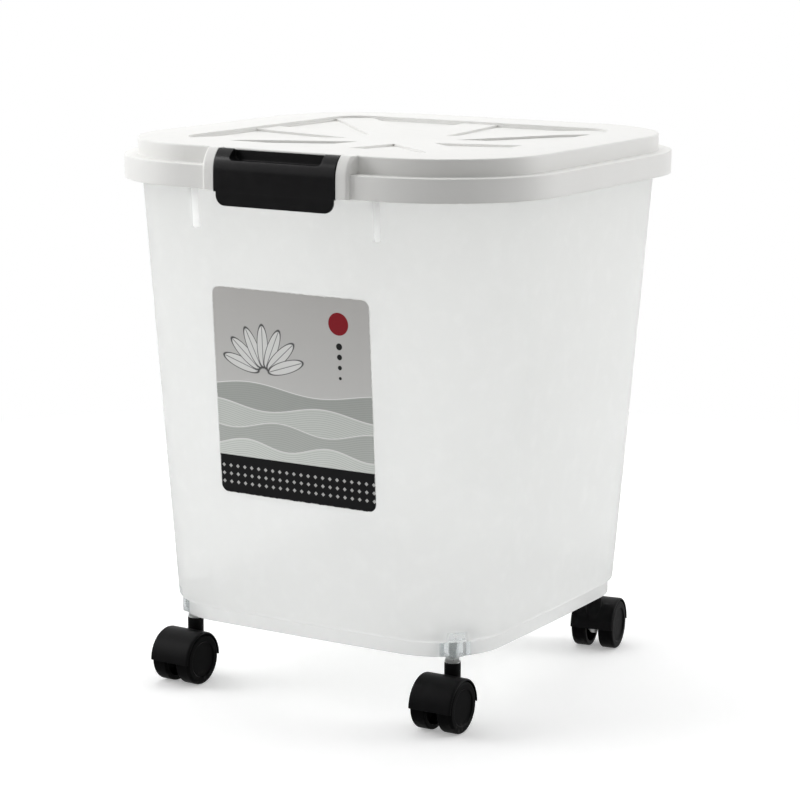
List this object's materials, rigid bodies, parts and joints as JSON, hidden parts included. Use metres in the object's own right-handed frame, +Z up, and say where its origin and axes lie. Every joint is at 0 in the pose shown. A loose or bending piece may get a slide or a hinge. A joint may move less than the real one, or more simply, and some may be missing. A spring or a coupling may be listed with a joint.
{
  "type": "rice bucket",
  "caption": "Square rice bucket of milky plastic on twin-wheel casters, with a hinged white lid and a black front latch.",
  "frame": {"origin": "on the floor under the middle of the bucket", "axes": "+Z up, -Y towards the front with the latch and label, +X to the right seen from the front"},
  "size_m": [0.368, 0.3816, 0.4318],
  "materials": {
    "tub_plastic": "milky translucent polypropylene, satin",
    "lid_plastic": "opaque white polypropylene, satin",
    "latch_plastic": "black, satin",
    "caster_plastic": "black nylon, satin gloss",
    "wheel_plastic": "black nylon",
    "steel": "zinc plated",
    "seal_rubber": "pale silicone",
    "label_film": "printed film"
  },
  "bodies": {
    "tub": {"bucket": "tub_plastic", "front_label": "label_film", "hinge_pin_left": "steel", "hinge_pin_right": "steel", "caster_front_right_stem": "steel", "caster_front_right_ring": "steel", "caster_front_left_stem": "steel", "caster_front_left_ring": "steel", "caster_rear_right_stem": "steel", "caster_rear_right_ring": "steel", "caster_rear_left_stem": "steel", "caster_rear_left_ring": "steel"},
    "lid": {"lid": "lid_plastic", "lid_seal": "seal_rubber"},
    "latch": {"latch": "latch_plastic"},
    "caster_front_right": {"caster_front_right_housing": "caster_plastic", "caster_front_right_axle": "steel"},
    "caster_front_right_wheel_left": {"caster_front_right_wheel_left": "wheel_plastic"},
    "caster_front_right_wheel_right": {"caster_front_right_wheel_right": "wheel_plastic"},
    "caster_front_left": {"caster_front_left_housing": "caster_plastic", "caster_front_left_axle": "steel"},
    "caster_front_left_wheel_left": {"caster_front_left_wheel_left": "wheel_plastic"},
    "caster_front_left_wheel_right": {"caster_front_left_wheel_right": "wheel_plastic"},
    "caster_rear_right": {"caster_rear_right_housing": "caster_plastic", "caster_rear_right_axle": "steel"},
    "caster_rear_right_wheel_left": {"caster_rear_right_wheel_left": "wheel_plastic"},
    "caster_rear_right_wheel_right": {"caster_rear_right_wheel_right": "wheel_plastic"},
    "caster_rear_left": {"caster_rear_left_housing": "caster_plastic", "caster_rear_left_axle": "steel"},
    "caster_rear_left_wheel_left": {"caster_rear_left_wheel_left": "wheel_plastic"},
    "caster_rear_left_wheel_right": {"caster_rear_left_wheel_right": "wheel_plastic"}
  },
  "joints": [
    {"name": "lid_hinge", "type": "hinge", "parent": "tub", "child": "lid", "pos_m": [0, 0.189, 0.395], "axis": [-1, 0, 0], "range_deg": [0, 105]},
    {"name": "latch_pivot", "type": "hinge", "parent": "lid", "child": "latch", "pos_m": [0.0036, -0.18, 0.4266], "axis": [-1, 0, 0], "range_deg": [-3, 95]},
    {"name": "caster_front_right_swivel", "type": "hinge", "parent": "tub", "child": "caster_front_right", "pos_m": [0.118, -0.118, 0.052], "axis": [0, 0, 1], "continuous": true},
    {"name": "caster_front_right_wheel_left_spin", "type": "hinge", "parent": "caster_front_right", "child": "caster_front_right_wheel_left", "pos_m": [0.12985, -0.13229, 0.02], "axis": [-0.9998, -0.0175, 0], "continuous": true},
    {"name": "caster_front_right_wheel_right_spin", "type": "hinge", "parent": "caster_front_right", "child": "caster_front_right_wheel_right", "pos_m": [0.10665, -0.1327, 0.02], "axis": [-0.9998, -0.0175, 0], "continuous": true},
    {"name": "caster_front_left_swivel", "type": "hinge", "parent": "tub", "child": "caster_front_left", "pos_m": [-0.118, -0.118, 0.052], "axis": [0, 0, 1], "continuous": true},
    {"name": "caster_front_left_wheel_left_spin", "type": "hinge", "parent": "caster_front_left", "child": "caster_front_left_wheel_left", "pos_m": [-0.10665, -0.1327, 0.02], "axis": [-0.9998, 0.0175, 0], "continuous": true},
    {"name": "caster_front_left_wheel_right_spin", "type": "hinge", "parent": "caster_front_left", "child": "caster_front_left_wheel_right", "pos_m": [-0.12985, -0.13229, 0.02], "axis": [-0.9998, 0.0175, 0], "continuous": true},
    {"name": "caster_rear_right_swivel", "type": "hinge", "parent": "tub", "child": "caster_rear_right", "pos_m": [0.118, 0.118, 0.052], "axis": [0, 0, 1], "continuous": true},
    {"name": "caster_rear_right_wheel_left_spin", "type": "hinge", "parent": "caster_rear_right", "child": "caster_rear_right_wheel_left", "pos_m": [0.10428, 0.13051, 0.02], "axis": [0.9877, 0.1564, 0], "continuous": true},
    {"name": "caster_rear_right_wheel_right_spin", "type": "hinge", "parent": "caster_rear_right", "child": "caster_rear_right_wheel_right", "pos_m": [0.12719, 0.13414, 0.02], "axis": [0.9877, 0.1564, 0], "continuous": true},
    {"name": "caster_rear_left_swivel", "type": "hinge", "parent": "tub", "child": "caster_rear_left", "pos_m": [-0.118, 0.118, 0.052], "axis": [0, 0, 1], "continuous": true},
    {"name": "caster_rear_left_wheel_left_spin", "type": "hinge", "parent": "caster_rear_left", "child": "caster_rear_left_wheel_left", "pos_m": [-0.1152, 0.09964, 0.02], "axis": [-0.866, 0.5, 0], "continuous": true},
    {"name": "caster_rear_left_wheel_right_spin", "type": "hinge", "parent": "caster_rear_left", "child": "caster_rear_left_wheel_right", "pos_m": [-0.1353, 0.11124, 0.02], "axis": [-0.866, 0.5, 0], "continuous": true}
  ]
}
